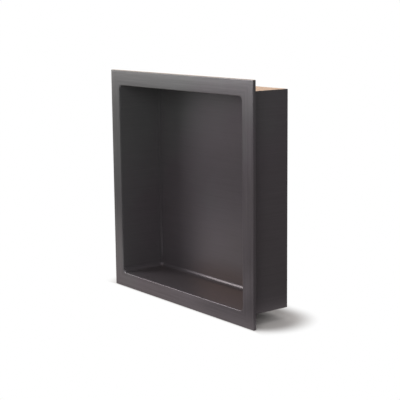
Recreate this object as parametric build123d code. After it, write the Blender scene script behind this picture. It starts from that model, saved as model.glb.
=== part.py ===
from build123d import *
import os

os.makedirs("parts", exist_ok=True)

# Shower niche insert, one welded piece of sheet metal, in millimetres.
# X runs to the right seen from the room, Y into the wall and Z up.
# The origin is the middle of the flange's back, the plane of the tiled wall.

# Driving sizes
box_width = 300.0
box_height = 300.0
box_depth = 70.0
flange_overlap = 16.0
flange_depth = 5.0
sheet = 1.5
skin_gap = 3.5

# Radii. The folds of the flange and the box are grooved before they are bent, so they are
# crisp outside and sharp inside. The pan is pressed, and its corners and cove are softer.
fold_round = 1.0
mouth_round = 2.0
pan_corner = 7.0
pan_cove = 6.0

# Sizes that follow: two skins of sheet with a gap between them make one side wall
side_wall = 2 * sheet + skin_gap
opening_width = box_width - 2 * side_wall
opening_height = box_height - 2 * side_wall
flange_width = box_width + 2 * flange_overlap
flange_height = box_height + 2 * flange_overlap

# Planes along Y
wall_plane = 0.0
front = wall_plane - flange_depth
front_inside = front + sheet
rear = wall_plane + box_depth
rear_inside = rear - sheet


def block(width, height, y_front, y_rear):
    """A box centred on the Y axis between two planes."""
    middle = (y_front + y_rear) / 2
    return Pos(0, middle, 0) * Box(width, y_rear - y_front, height)


def long_edges(shape):
    """The straight edges that run from front to rear."""
    return shape.edges().filter_by(Axis.Y)


def front_face(shape):
    return shape.faces().sort_by(Axis.Y)[0]


def rear_face(shape):
    return shape.faces().sort_by(Axis.Y)[-1]


# Flange: a shallow tray whose edges are folded back to the wall
flange = block(flange_width, flange_height, front, wall_plane)
flange = fillet(long_edges(flange) + front_face(flange).edges(), fold_round)

# Groove behind the flange, between its folded edge and the box
groove = block(flange_width - 2 * sheet, flange_height - 2 * sheet, front_inside, wall_plane)

# Outer box that goes into the wall
box = block(box_width, box_height, front_inside, rear)
box = fillet(long_edges(box) + rear_face(box).edges(), fold_round)

# Inside of the pan, with rounded corners and a cove along the rear wall
recess = block(opening_width, opening_height, front, rear_inside)
recess = fillet(long_edges(recess), pan_corner)
recess = fillet(rear_face(recess).outer_wire().edges(), pan_cove)

# Back of the pan, one sheet further out
pan_back = block(opening_width + 2 * sheet, opening_height + 2 * sheet, front, rear)
pan_back = fillet(long_edges(pan_back), pan_corner + sheet)
pan_back = fillet(rear_face(pan_back).outer_wire().edges(), pan_cove + sheet)

# Closed gap between the back of the pan and the outer box
gap = block(box_width - 2 * sheet, box_height - 2 * sheet, front_inside, rear_inside)
gap = gap - pan_back

# One piece, with the bend at the mouth rounded last
niche = flange - groove + box - recess - gap
niche = fillet(front_face(niche).inner_wires()[0].edges(), mouth_round)
niche.label = "niche_insert"

export_step(niche, "parts/niche_insert.step")
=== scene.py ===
import math

import bmesh
import bpy
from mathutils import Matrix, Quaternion, Vector


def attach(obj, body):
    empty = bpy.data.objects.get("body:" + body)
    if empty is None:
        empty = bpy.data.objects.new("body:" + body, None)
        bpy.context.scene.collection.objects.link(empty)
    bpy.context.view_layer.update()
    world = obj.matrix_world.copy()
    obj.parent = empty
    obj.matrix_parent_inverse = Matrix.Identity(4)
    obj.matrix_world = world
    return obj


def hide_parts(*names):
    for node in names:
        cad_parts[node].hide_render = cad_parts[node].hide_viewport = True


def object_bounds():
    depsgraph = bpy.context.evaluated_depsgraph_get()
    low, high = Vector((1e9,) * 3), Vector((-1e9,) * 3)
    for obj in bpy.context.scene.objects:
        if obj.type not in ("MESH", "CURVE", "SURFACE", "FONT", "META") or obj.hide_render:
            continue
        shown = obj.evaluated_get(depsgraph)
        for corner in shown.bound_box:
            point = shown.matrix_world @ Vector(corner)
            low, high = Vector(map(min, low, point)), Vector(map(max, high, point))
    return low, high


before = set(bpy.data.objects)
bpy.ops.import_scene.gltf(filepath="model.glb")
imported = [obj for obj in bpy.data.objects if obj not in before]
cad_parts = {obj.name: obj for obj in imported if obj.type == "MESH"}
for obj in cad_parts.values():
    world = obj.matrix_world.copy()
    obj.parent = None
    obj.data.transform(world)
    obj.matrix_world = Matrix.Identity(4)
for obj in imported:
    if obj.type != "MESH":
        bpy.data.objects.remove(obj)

cad_low, cad_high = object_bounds()

# Niche insert: pan, flange and outer box, welded from folded stainless sheet and ground smooth.
# It starts as the plate of the flange. The pan is pushed in from the front, the folded lip,
# the groove behind it and the outer box are drawn out of the back, and every fold is rounded.
MM = 0.001
SHEET = 1.5 * MM
FLANGE_DEPTH = 5 * MM
FLANGE_OVERLAP = 16 * MM
SIDE_WALL = 6.5 * MM
PAN_CORNER = 7 * MM
PAN_COVE = 6 * MM
MOUTH_ROUND = 2 * MM
FOLD_ROUND = 1 * MM
CORNER_STEPS = 16
COVE_STEPS = 12
MOUTH_STEPS = 8
FOLD_STEPS = 6
CROWN_STEP = 5.5 * MM
CROWN_RISES = (0.4 * MM, 0.25 * MM, 0.1 * MM)

flange_half = cad_high.x
box_half = flange_half - FLANGE_OVERLAP
opening_half = box_half - SIDE_WALL
lip_half = flange_half - SHEET
front = cad_low.y
front_inside = front + SHEET
front_edge = front + sum(CROWN_RISES)
wall_plane = front + FLANGE_DEPTH
rear = cad_high.y
rear_inside = rear - SHEET

NEAR = 1e-6
MERGED = 0.01 * MM
SQUARE_ON = 0.9
FOLD_ANGLE = math.radians(45)
SMOOTH_ANGLE = math.radians(40)


def pick(kind, test):
    """Select the faces or edges of the piece in edit mode that pass a test, and nothing else."""
    bpy.ops.mesh.select_mode(type=kind)
    bpy.ops.mesh.select_all(action="DESELECT")
    mesh = bpy.context.object.data
    shape = bmesh.from_edit_mesh(mesh)
    for part in shape.faces if kind == "FACE" else shape.edges:
        part.select_set(test(part))
    shape.select_flush_mode()
    bmesh.update_edit_mesh(mesh)


def push(distance):
    """Draw the selected face out along Y."""
    bpy.ops.mesh.extrude_region_move(TRANSFORM_OT_translate={"value": (0, distance, 0)})


def round_over(radius, steps):
    """Round the selected edges."""
    bpy.ops.mesh.bevel(offset=radius, segments=steps, profile=0.5, affect="EDGES", clamp_overlap=False)


def at_depth(part, y):
    """Does the whole part lie at this depth?"""
    return all(abs(v.co.y - y) < NEAR for v in part.verts)


def reach(part):
    """How far the part lies from the Y axis, measured square."""
    return max(max(abs(v.co.x), abs(v.co.z)) for v in part.verts)


def long_edge(edge, half):
    """Is this the edge that runs from front to rear at the corner of a square?"""
    a, b = (v.co for v in edge.verts)
    return abs(a.y - b.y) > NEAR and all(abs(abs(c) - half) < NEAR for c in (a.x, a.z, b.x, b.z))


def fold(edge):
    """Is this a fold, and not one of the slight steps of the crowned face?"""
    return len(edge.link_faces) == 2 and edge.calc_face_angle() > FOLD_ANGLE


bpy.ops.object.select_all(action="DESELECT")
bpy.ops.mesh.primitive_cube_add(
    size=1,
    location=(0, (front_edge + wall_plane) / 2, 0),
    scale=(2 * flange_half, wall_plane - front_edge, 2 * flange_half),
)
niche = bpy.context.object
niche.name = niche.data.name = "niche_body"
bpy.ops.object.transform_apply(location=True, rotation=True, scale=True)
bpy.ops.object.mode_set(mode="EDIT")

# The face of the plate rises a hair from its edges towards the mouth.
# The pan goes in from there.
pick("FACE", lambda f: f.normal.y < -SQUARE_ON)
for rise in CROWN_RISES:
    bpy.ops.mesh.inset(thickness=CROWN_STEP, depth=rise)
bpy.ops.mesh.inset(thickness=flange_half - opening_half - CROWN_STEP * len(CROWN_RISES))
push(rear_inside - front)

# The lip, the groove behind the flange and the outer box come out of its back
pick("FACE", lambda f: f.normal.y > SQUARE_ON)
bpy.ops.mesh.inset(thickness=SHEET)
push(front_inside - wall_plane)
bpy.ops.mesh.inset(thickness=lip_half - box_half)
push(rear - front_inside)

# Pan: corners, the cove along the rear wall and the bend at the mouth
pick("EDGE", lambda e: long_edge(e, opening_half))
round_over(PAN_CORNER, CORNER_STEPS)
pick("EDGE", lambda e: at_depth(e, rear_inside))
round_over(PAN_COVE, COVE_STEPS)
pick("EDGE", lambda e: at_depth(e, front) and reach(e) < opening_half + NEAR)
round_over(MOUTH_ROUND, MOUTH_STEPS)

# Flange and outer box: the crisp folds that meet at each corner are rounded together
pick("EDGE", lambda e: long_edge(e, flange_half) or at_depth(e, front_edge) and fold(e))
round_over(FOLD_ROUND, FOLD_STEPS)
pick("EDGE", lambda e: long_edge(e, box_half) or at_depth(e, rear))
round_over(FOLD_ROUND, FOLD_STEPS)

bpy.ops.mesh.select_all(action="SELECT")
bpy.ops.mesh.remove_doubles(threshold=MERGED)
bpy.ops.mesh.normals_make_consistent(inside=False)
bpy.ops.uv.cube_project(
    cube_size=1.0, correct_aspect=False, clip_to_bounds=False, scale_to_bounds=False
)

# The brush marks follow each leg of the flange, so on the two upright ones the map is turned to match
shape = bmesh.from_edit_mesh(niche.data)
brush_map = shape.loops.layers.uv.active
for face in shape.faces:
    middle = face.calc_center_median()
    on_upright_leg = abs(middle.x) > max(abs(middle.z), opening_half)
    if on_upright_leg and middle.y < front_edge + NEAR:
        for corner in face.loops:
            corner[brush_map].uv = corner[brush_map].uv.yx
bmesh.update_edit_mesh(niche.data)
bpy.ops.object.mode_set(mode="OBJECT")
bpy.ops.object.shade_smooth_by_angle(angle=SMOOTH_ANGLE)
flats = niche.modifiers.new("flats stay flat", "WEIGHTED_NORMAL")
flats.keep_sharp = True
bpy.ops.object.modifier_apply(modifier=flats.name)

# Gunmetal, the finish of the insert: a thin dark coating over brushed stainless steel, a little
# warm and violet. The brush marks run along U in the map laid on above, which is level on the pan and
# the box and follows each leg of the flange.
COOL_GREY = (0.123, 0.123, 0.125, 1)
VIOLET = (0.115, 0.102, 0.112, 1)
BROWN = (0.107, 0.095, 0.100, 1)


class Socket:
    """A node's output that can be written into sums."""

    def __init__(self, shader, output):
        self.shader = shader
        self.output = output

    def sum_of(self, operation, a, b):
        return self.shader.node("ShaderNodeMath", {"operation": operation}, {0: a, 1: b})

    def __add__(self, other):
        return self.sum_of("ADD", self, other)

    def __sub__(self, other):
        return self.sum_of("SUBTRACT", self, other)

    def __mul__(self, other):
        return self.sum_of("MULTIPLY", self, other)

    def __rsub__(self, other):
        return self.sum_of("SUBTRACT", other, self)

    __radd__ = __add__
    __rmul__ = __mul__


class Shader:
    """A material or a world whose nodes are added one at a time."""

    def __init__(self, owner):
        owner.use_nodes = True
        self.tree = owner.node_tree
        self.tree.nodes.clear()

    def node(self, kind, settings={}, inputs={}, output=0):
        """Add a node, set it up, feed its sockets and give back one of its outputs."""
        made = self.tree.nodes.new(kind)
        for name, value in settings.items():
            if name == "stops":
                for stop, (place, colour) in zip(self.stops(made, len(value)), value):
                    stop.position = place
                    stop.color = colour
            else:
                setattr(made, name, value)
        for name, value in inputs.items():
            if isinstance(value, Socket):
                self.tree.links.new(value.output, made.inputs[name])
            else:
                made.inputs[name].default_value = value
        return Socket(self, made.outputs[output]) if made.outputs else None

    def stops(self, ramp, count):
        """The stops of a colour ramp, this many of them."""
        while len(ramp.color_ramp.elements) < count:
            ramp.color_ramp.elements.new(0.5)
        return ramp.color_ramp.elements


gunmetal = bpy.data.materials.new("brushed_gunmetal")
coat = Shader(gunmetal)
along_brush = coat.node("ShaderNodeUVMap", {"uv_map": niche.data.uv_layers[0].name})


def brush_marks(length, width, detail):
    """Noise drawn out along the brush, with marks of about this length and width in metres."""
    stretched = coat.node(
        "ShaderNodeMapping", {}, {"Vector": along_brush, "Scale": (1 / length, 1 / width, 1)}
    )
    return coat.node(
        "ShaderNodeTexNoise",
        {},
        {"Vector": stretched, "Scale": 1.0, "Detail": detail, "Roughness": 0.8},
    )


place = coat.node("ShaderNodeTexCoord", output="Object")
clouds = coat.node(
    "ShaderNodeTexNoise",
    {},
    {"Vector": place, "Scale": 9.0, "Detail": 3.0, "Roughness": 0.55},
)
hairlines = brush_marks(length=0.09, width=0.0006, detail=3.0)
streaks = brush_marks(length=0.16, width=0.003, detail=5.0)
NOISE_MIDDLE = 0.5

# The coating's tint drifts from a cool grey, up on the left, to violet and brown, down on the right and
# deep in the pan. The ramp also grows darker along the way, which is painted shade: lighter at the top,
# darker low and deep in the pan. The first value is the drift at the origin, and the next three are its
# changes in a metre.
TINT_AND_SHADE_AT_ORIGIN = 0.38
TINT_AND_SHADE_RIGHT = 1.3
TINT_AND_SHADE_DOWN = 1.5
TINT_AND_SHADE_DEEP = 2.5
CLOUDINESS = 0.9
split = coat.node("ShaderNodeSeparateXYZ", {}, {"Vector": place}).output.node.outputs
across, deep, up = (Socket(coat, split[axis]) for axis in "XYZ")
# Tint of the coat with painted shade: lighter up on the left, darker down on the right and deep in the
# pan
tint_and_shade = (
    TINT_AND_SHADE_AT_ORIGIN
    + across * TINT_AND_SHADE_RIGHT
    - up * TINT_AND_SHADE_DOWN
    + deep * TINT_AND_SHADE_DEEP
    + (clouds - NOISE_MIDDLE) * CLOUDINESS
)
coat_colour_and_shade = coat.node(
    "ShaderNodeValToRGB",
    {"stops": [(0.1, COOL_GREY), (0.5, VIOLET), (0.95, BROWN)]},
    {"Fac": tint_and_shade},
)

# Painted light and shade: the face of the flange is painted paler than the rest, most along its top,
# where the light falls, and the upright coves of the pan are painted a little darker, as shade. These
# shades are set to come close to the tones of the picture.
PAN_MARGIN = 1 * MM
COVE_SHARE = 0.62
FLANGE_FACE_FROM = -3.5 * MM
FLANGE_FACE_FULL = -4.4 * MM
CREST_FROM = 0.115
CREST_FULL = 0.16
sideways = coat.node("ShaderNodeMath", {"operation": "ABSOLUTE"}, {0: across})
# The upright coves of the pan, which get painted shade
inside = coat.node(
    "ShaderNodeMapRange",
    {},
    {"Value": sideways, "From Min": opening_half + PAN_MARGIN, "From Max": opening_half},
)
tucked = coat.node(
    "ShaderNodeMapRange",
    {"interpolation_type": "SMOOTHSTEP"},
    {
        "Value": sideways + deep,
        "From Min": opening_half + rear_inside - PAN_COVE,
        "From Max": opening_half + rear_inside - COVE_SHARE * PAN_COVE,
    },
)
# The face of the flange, which gets painted light and the stronger brush marks
flange_face = coat.node(
    "ShaderNodeMapRange", {}, {"Value": deep, "From Min": FLANGE_FACE_FROM, "From Max": FLANGE_FACE_FULL}
)
# The top of the flange, where more painted light goes
crest = coat.node(
    "ShaderNodeMapRange", {}, {"Value": up, "From Min": CREST_FROM, "From Max": CREST_FULL}
)

# Brush marks show most on the face of the flange
COAT_SHADE = 0.85
FLANGE_FACE_PAINTED_LIGHT = 0.04
TOP_PAINTED_LIGHT = 0.2
COVE_PAINTED_SHADE = 0.27
STREAK_SHADE = 0.2
GROUND_STREAK_SHADE = 0.5
HAIRLINE_SHADE = 0.25
GROUND_HAIRLINE_SHADE = 0.25
SMOOTHEST = 0.27
BRUSH_ROUGHNESS = 0.06
# The colour is scaled by painted light on the flange face and its top, painted shade in the upright
# coves, and brush marks
shade = (
    COAT_SHADE
    + flange_face * (FLANGE_FACE_PAINTED_LIGHT + crest * TOP_PAINTED_LIGHT)
    - inside * tucked * COVE_PAINTED_SHADE
    + (streaks - NOISE_MIDDLE) * (STREAK_SHADE + flange_face * GROUND_STREAK_SHADE)
    + (hairlines - NOISE_MIDDLE) * (HAIRLINE_SHADE + flange_face * GROUND_HAIRLINE_SHADE)
)

# The factor and the two colours go in by number, because a Mix node has several sockets of each name
tint = coat.node(
    "ShaderNodeMix",
    {"data_type": "RGBA", "blend_type": "MULTIPLY"},
    {0: 1.0, 6: coat_colour_and_shade, 7: shade},
    output=2,
)
roughness = SMOOTHEST + hairlines * BRUSH_ROUGHNESS + (streaks - NOISE_MIDDLE) * BRUSH_ROUGHNESS
relief = coat.node("ShaderNodeBump", {}, {"Strength": 0.1, "Distance": 0.0002, "Height": hairlines})
metal = coat.node(
    "ShaderNodeBsdfPrincipled",
    {},
    {
        "Base Color": tint,
        "Metallic": 0.6,
        "Roughness": roughness,
        "Normal": relief,
        "Specular IOR Level": 0.0,
        "Specular Tint": (0.80, 0.67, 0.57, 1),
    },
)
coat.node("ShaderNodeOutputMaterial", {}, {"Surface": metal})
niche.data.materials.clear()
niche.data.materials.append(gunmetal)
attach(niche, "root")
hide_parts("niche_insert")

# Studio: a pale floor that turns into a white backdrop, and soft light from the front left.
# The insert stands on the edge of its flange, as it does for its picture.
FLOOR_SIZE = 12.0
PAINTED_SHADOW_GREY = (0.44, 0.42, 0.41, 1)
WHITE = (1, 1, 1, 1)
ROOM_LIGHT = 0.48

bpy.ops.object.select_all(action="DESELECT")
bpy.ops.mesh.primitive_plane_add(size=FLOOR_SIZE, location=(0, 0, cad_low.z))
floor = bpy.context.object
floor.name = "studio_floor"


def shown(shader):
    """One for rays from the camera or by way of gloss or glass, and otherwise nought."""
    rays = shader.node("ShaderNodeLightPath").output.node.outputs
    camera, glossy, through = (
        Socket(shader, rays[n]) for n in ("Is Camera Ray", "Is Glossy Ray", "Is Transmission Ray")
    )
    return shader.node("ShaderNodeMath", {"operation": "MAXIMUM"}, {0: camera, 1: glossy}) + through


# In a strip with round ends under and behind the niche, the paper is a darker grey, which is a painted
# shadow, and it shows the real shadow of the lamps as well. It fades to white away from the middle line
# of the strip, and in front of the flange. The sizes are set so that the shadow has about the outline
# that it has in the picture.
STRIP_HALF = 0.13
STRIP_MIDDLE = 0.041
FADES_FROM = 0.04
FADED_AT = 0.0815
BEHIND_FLANGE = 0 * MM
BEFORE_FLANGE = -9 * MM
paper = bpy.data.materials.new("studio_paper")
sweep = Shader(paper)
spot = sweep.node("ShaderNodeTexCoord", output="Object")
off_middle = sweep.node(
    "ShaderNodeVectorMath", {"operation": "SUBTRACT"}, {0: spot, 1: (0, STRIP_MIDDLE, 0)}
)
to_side = sweep.node("ShaderNodeVectorMath", {"operation": "ABSOLUTE"}, {0: off_middle})
beyond = sweep.node(
    "ShaderNodeVectorMath", {"operation": "SUBTRACT"}, {0: to_side, 1: (STRIP_HALF, 0, 0)}
)
outside = sweep.node("ShaderNodeVectorMath", {"operation": "MAXIMUM"}, {0: beyond, 1: (0, 0, 0)})
distance = sweep.node("ShaderNodeVectorMath", {"operation": "LENGTH"}, {0: outside}, output=1)
faded = sweep.node(
    "ShaderNodeMapRange",
    {"interpolation_type": "SMOOTHSTEP"},
    {"Value": distance, "From Min": FADES_FROM, "From Max": FADED_AT},
)
forward = sweep.node("ShaderNodeSeparateXYZ", {}, {"Vector": spot}, output=1)
before = sweep.node(
    "ShaderNodeMapRange",
    {"interpolation_type": "SMOOTHSTEP"},
    {"Value": forward, "From Min": BEHIND_FLANGE, "From Max": BEFORE_FLANGE},
)
bare = sweep.node("ShaderNodeMath", {"operation": "MAXIMUM"}, {0: faded, 1: before})
# Darker grey paper, a painted shadow, which also takes the real shadow of the lamps
lit = sweep.node("ShaderNodeBsdfDiffuse", {}, {"Color": PAINTED_SHADOW_GREY})
white = sweep.node("ShaderNodeEmission", {}, {"Color": WHITE, "Strength": 1.0})
surface = sweep.node("ShaderNodeMixShader", {}, {0: bare * shown(sweep), 1: lit, 2: white})
sweep.node("ShaderNodeOutputMaterial", {}, {"Surface": surface})
floor.data.materials.append(paper)

world = bpy.data.worlds.new("studio_room")
bpy.context.scene.world = world
room = Shader(world)
soft = room.node("ShaderNodeBackground", {}, {"Color": WHITE, "Strength": ROOM_LIGHT})
backdrop = room.node("ShaderNodeBackground", {}, {"Color": WHITE, "Strength": 1.0})
seen = room.node("ShaderNodeMixShader", {}, {0: shown(room), 1: soft, 2: backdrop})
room.node("ShaderNodeOutputWorld", {}, {"Surface": seen})


def facing(place, aim):
    """The turn that points a lamp or a card at a place."""
    return (Vector(aim) - Vector(place)).to_track_quat("-Z", "Y").to_euler()


def softbox(name, place, width, height, brightness, mirrored=True):
    """A soft lamp that points at the niche and looks this bright to it."""
    lamp = bpy.data.lights.new(name, "AREA")
    lamp.shape = "RECTANGLE"
    lamp.size, lamp.size_y = width, height
    lamp.energy = brightness * math.pi * width * height
    stand = bpy.data.objects.new(name, lamp)
    bpy.context.scene.collection.objects.link(stand)
    stand.location = place
    stand.rotation_euler = facing(place, (0, 0, 0))
    stand.visible_camera = False
    stand.visible_glossy = mirrored


def around(turn, rise, distance):
    """A place round the niche: its turn from +X, its rise above level and its distance."""
    turn, rise = math.radians(turn), math.radians(rise)
    flat = distance * math.cos(rise)
    return (flat * math.cos(turn), flat * math.sin(turn), distance * math.sin(rise))


softbox("key_softbox", around(220, 24, 1.7), width=0.8, height=0.92, brightness=8.2)
softbox("fill_softbox", around(318, 14, 1.8), width=1.3, height=1.0, brightness=5.9, mirrored=False)
softbox("top_softbox", around(270, 86, 1.7), width=1.2, height=1.2, brightness=3.2)
softbox("left_softbox", around(205, 62, 1.7), width=0.9, height=0.9, brightness=2.4)
softbox("back_softbox", around(140, 40, 1.8), width=1.0, height=0.9, brightness=2.0)

# Cards and cloths keep the white room out of the gloss on the niche, as on a photographer's table,
# and a warm one stands behind it. Only gloss sees them, so they hide nothing and throw no shadow.
CLOTH_LEVEL = cad_low.z + 2 * MM
BOARD_HALF = 0.5
SOFT_RIM = 0.12
BLACK = (0.01, 0.01, 0.01)
GREY = (0.35, 0.35, 0.35)
WARM = (3.4, 2.65, 1.97)


def card(name, colour, place, aim, width, height, turn=0):
    """A board of one colour with a soft rim, which faces a place. The turn is in degrees, about Z."""
    made = bpy.data.materials.new(name)
    board = Shader(made)
    glow = board.node("ShaderNodeEmission", {}, {"Color": (*colour, 1), "Strength": 1.0})
    spot = board.node("ShaderNodeTexCoord", output="Object")
    off_centre = board.node("ShaderNodeVectorMath", {"operation": "ABSOLUTE"}, {0: spot})
    sides = board.node("ShaderNodeSeparateXYZ", {}, {0: off_centre}).output.node.outputs
    wide, high = (Socket(board, sides[axis]) for axis in "XY")
    rim = board.node("ShaderNodeMath", {"operation": "MAXIMUM"}, {0: wide, 1: high})
    solid = board.node(
        "ShaderNodeMapRange",
        {"interpolation_type": "SMOOTHSTEP"},
        {"Value": rim, "From Min": BOARD_HALF, "From Max": BOARD_HALF - SOFT_RIM},
    )
    clear = board.node("ShaderNodeBsdfTransparent")
    surface = board.node("ShaderNodeMixShader", {}, {0: solid, 1: clear, 2: glow})
    board.node("ShaderNodeOutputMaterial", {}, {"Surface": surface})
    bpy.ops.object.select_all(action="DESELECT")
    bpy.ops.mesh.primitive_plane_add(size=2 * BOARD_HALF, location=place, rotation=facing(place, aim))
    plane = bpy.context.object
    plane.name = name
    plane.scale = (width, height, 1)
    plane.rotation_euler.z += math.radians(turn)
    plane.data.materials.append(made)
    plane.visible_camera = plane.visible_diffuse = plane.visible_shadow = False


def cloth(name, x, y, width, height, turn=0):
    """A black cloth on the floor."""
    card(name, BLACK, (x, y, CLOTH_LEVEL), (x, y, 1), width, height, turn)


card("right_card", BLACK, (0.45, 0.475, 0.36), (0, 0.475, 0.36), width=1.65, height=1.29)
card("near_card", BLACK, (0.325, -0.6, 0.16), (0, 0, 0.16), width=1.2, height=0.8)
card("front_card", BLACK, (-0.75, -2.07, 0.14), (0, 0, 0.14), width=1.36, height=0.72)
card("warm_card", WARM, (-0.95, 0.73, 0.33), (0, 0, 0.33), width=1.0, height=0.44)
cloth("front_cloth", -0.82, -0.98, width=1.9, height=1.7, turn=-32)
card("low_card", GREY, (-1.884, -1.319, 0.03), (0, 0, 0.03), width=1.0, height=0.33)
cloth("right_cloth", 0.33, 0.4, width=0.3, height=1.4)
cloth("near_cloth", 0.41, -0.33, width=0.84, height=0.66)
cloth("middle_cloth", -0.09, -0.4, width=0.32, height=0.54)

# Camera: a long lens to the right of the niche and a little above it, rolled by a hair.
# It has no shift, so the whole niche stays in view from the other sides too.
LENS = 99.77
SENSOR = 36
TURN, TILT, ROLL = (math.radians(a) for a in (52.615, 10.082, -0.629))
STAND_OFF = 1.5388
AIM = Vector((0.04668, -0.0004, -0.00587))

camera_data = bpy.data.cameras.new("camera")
camera_data.lens = LENS
camera_data.sensor_width = SENSOR
camera = bpy.data.objects.new("camera", camera_data)
bpy.context.scene.collection.objects.link(camera)
look = Vector((-math.sin(TURN) * math.cos(TILT), math.cos(TURN) * math.cos(TILT), -math.sin(TILT)))
camera.location = AIM - look * STAND_OFF
level = look.to_track_quat("-Z", "Y")
camera.rotation_euler = (level @ Quaternion((0, 0, 1), ROLL)).to_euler()
bpy.context.scene.camera = camera
bpy.context.scene.view_settings.view_transform = "Standard"
